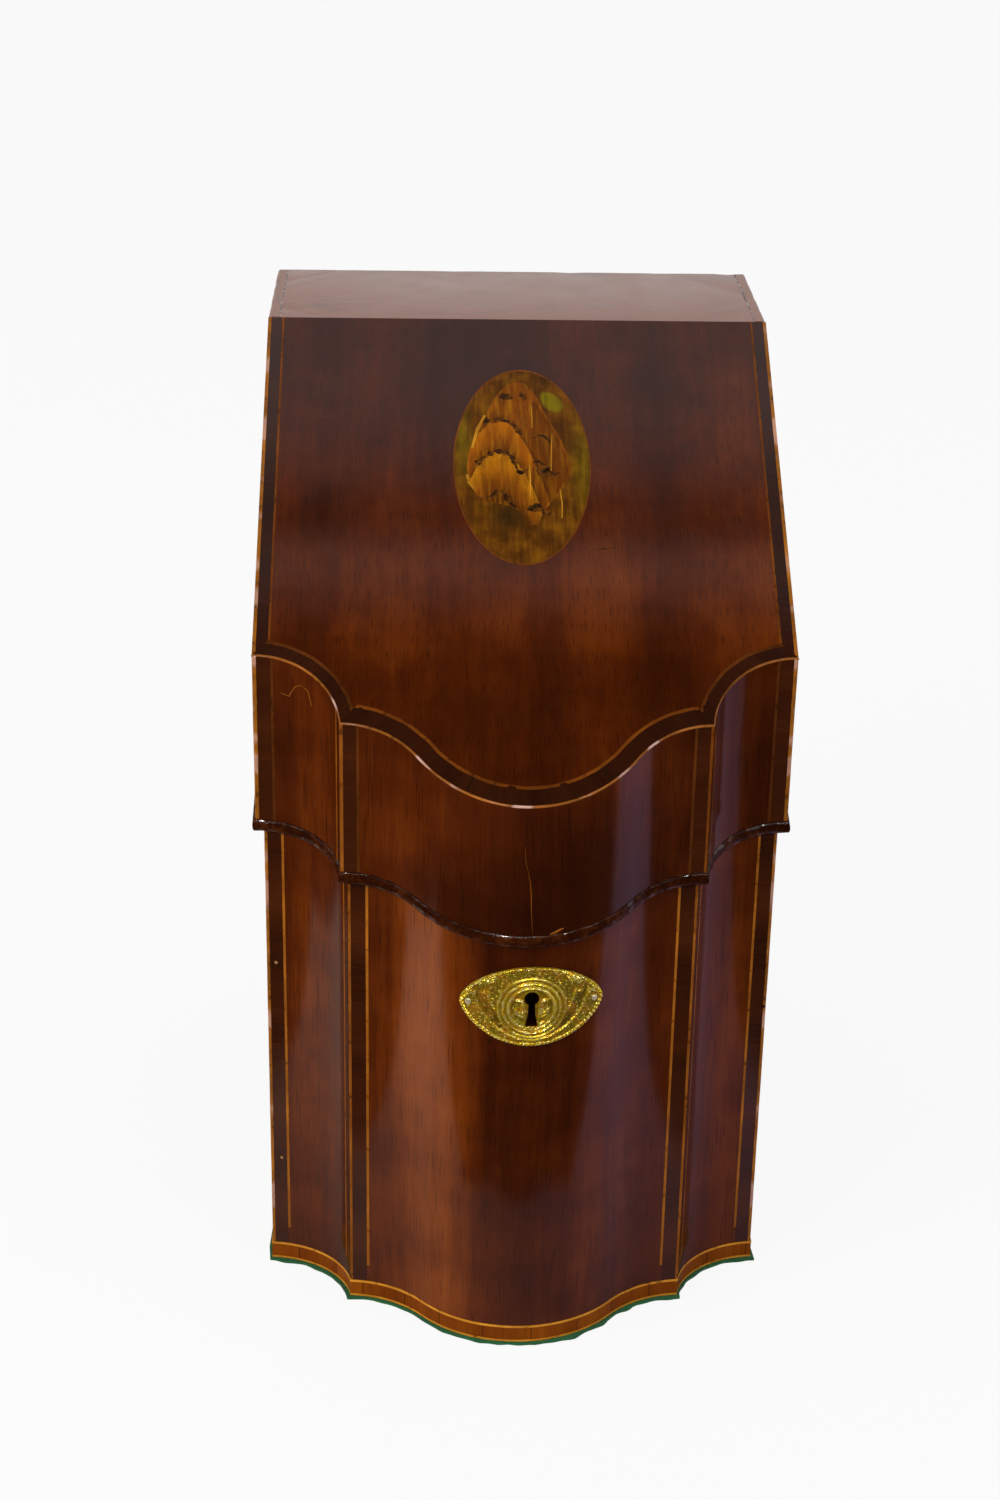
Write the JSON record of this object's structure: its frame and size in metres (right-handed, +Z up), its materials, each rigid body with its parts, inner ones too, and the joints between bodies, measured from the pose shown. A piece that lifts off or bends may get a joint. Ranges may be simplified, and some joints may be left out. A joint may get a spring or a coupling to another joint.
{
  "type": "knife box",
  "caption": "Serpentine-front wooden knife box with a sloping hinged lid, a slotted cutlery tray inside and a link-plate lock behind a brass escutcheon.",
  "frame": {"origin": "on the surface the box stands on, under the middle of its overall width and depth", "axes": "+Z up, +X to the right as the serpentine front is seen, +Y towards the hinged back"},
  "size_m": [0.2288, 0.3238, 0.399],
  "materials": {
    "mahogany": "waxed and french polished mahogany veneer",
    "carcase_pine": "bare aged softwood",
    "moulding": "dark polished moulding",
    "crossband": "polished satinwood crossbanding between light lines",
    "boxwood": "polished boxwood stringing",
    "shell_inlay": "scorched and stained marquetry",
    "baize": "green wool baize",
    "brass": "aged stamped brass",
    "iron": "old iron screws"
  },
  "bodies": {
    "body": {"body_front": "mahogany", "body_back": "mahogany", "body_side_left": "mahogany", "body_side_right": "mahogany", "cutlery_tray": "mahogany", "base_board": "carcase_pine", "tray_ledge_back": "carcase_pine", "tray_ledge_left": "carcase_pine", "tray_ledge_right": "carcase_pine", "partition_left": "carcase_pine", "partition_right": "carcase_pine", "body_bead": "moulding", "base_band": "crossband", "body_corner_string_left": "boxwood", "body_corner_string_right": "boxwood", "baize_pad": "baize", "escutcheon": "brass", "escutcheon_pin_left": "brass", "escutcheon_pin_right": "brass", "lock_case": "brass", "hinge_left_body_leaf": "brass", "hinge_left_pin": "brass", "hinge_right_body_leaf": "brass", "hinge_right_pin": "brass", "lock_screw_left": "iron", "lock_screw_right": "iron", "hinge_left_body_screw_1": "iron", "hinge_left_body_screw_2": "iron", "hinge_right_body_screw_1": "iron", "hinge_right_body_screw_2": "iron"},
    "lid": {"lid_front": "mahogany", "lid_back": "mahogany", "lid_slope": "mahogany", "lid_top": "mahogany", "lid_side_left": "mahogany", "lid_side_right": "mahogany", "lid_bead": "moulding", "lid_corner_string_left": "boxwood", "lid_corner_string_right": "boxwood", "shell_oval": "shell_inlay", "link_plate": "brass", "link_left": "brass", "link_right": "brass", "hinge_left_lid_leaf": "brass", "hinge_right_lid_leaf": "brass", "link_plate_screw_left": "iron", "link_plate_screw_right": "iron", "hinge_left_lid_screw_1": "iron", "hinge_left_lid_screw_2": "iron", "hinge_right_lid_screw_1": "iron", "hinge_right_lid_screw_2": "iron"},
    "bolt": {"lock_bolt": "brass"}
  },
  "joints": [
    {"name": "lid_hinge", "type": "hinge", "parent": "body", "child": "lid", "pos_m": [0, 0.1594, 0.30563], "axis": [-1, 0, 0], "range_deg": [0, 100]},
    {"name": "bolt_slide", "type": "slide", "parent": "body", "child": "bolt", "axis": [1, 0, 0], "range_m": [0, 0.0045]}
  ]
}
